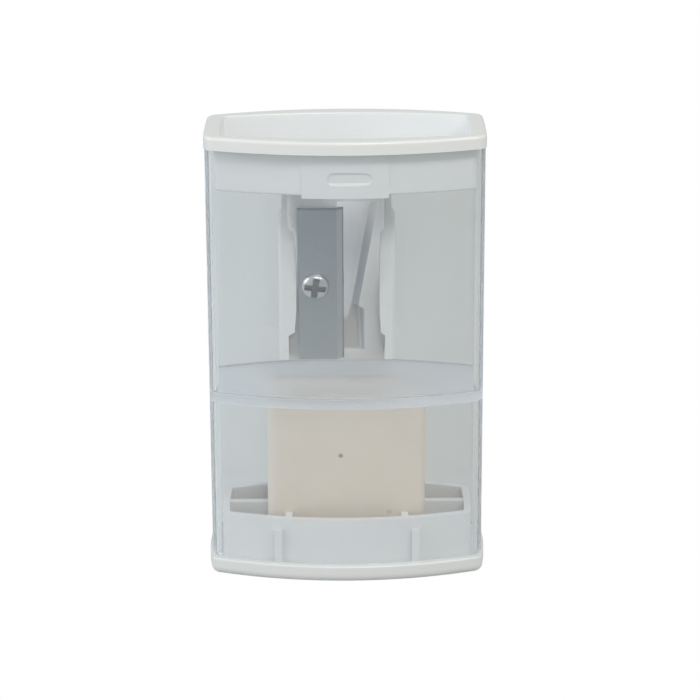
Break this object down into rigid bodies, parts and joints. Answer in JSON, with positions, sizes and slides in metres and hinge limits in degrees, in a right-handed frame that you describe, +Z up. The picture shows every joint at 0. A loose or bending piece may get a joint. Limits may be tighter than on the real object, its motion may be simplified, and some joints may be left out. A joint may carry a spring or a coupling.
{
  "type": "pencil sharpener",
  "caption": "Upright pencil sharpener: clear case with a shavings room and an eraser room, white plug-in cap that carries the blade block, white base tray with a block eraser.",
  "frame": {"origin": "centre of the underside of the base flange", "axes": "+Z up along the pencil bore, +X to the right as seen from the blade side, -Y towards the blade side"},
  "size_m": [0.0402, 0.0216, 0.0652],
  "materials": {
    "clear_plastic": "gloss, clear",
    "white_plastic": "satin gloss",
    "block_plastic": "satin, slightly translucent",
    "blade_steel": "ground",
    "screw_steel": "bright plated",
    "eraser_rubber": "matte"
  },
  "bodies": {
    "base": {"base_tray": "white_plastic", "eraser": "eraser_rubber"},
    "case": {"body_shell": "clear_plastic"},
    "cap": {"top_cap": "white_plastic", "sharpener_block": "block_plastic", "blade": "blade_steel", "blade_screw": "screw_steel"}
  },
  "joints": [
    {"name": "case_lift", "type": "slide", "parent": "base", "child": "case", "axis": [0, 0, 1], "range_m": [0, 0.024]},
    {"name": "cap_lift", "type": "slide", "parent": "case", "child": "cap", "axis": [0, 0, 1], "range_m": [0, 0.034]}
  ]
}
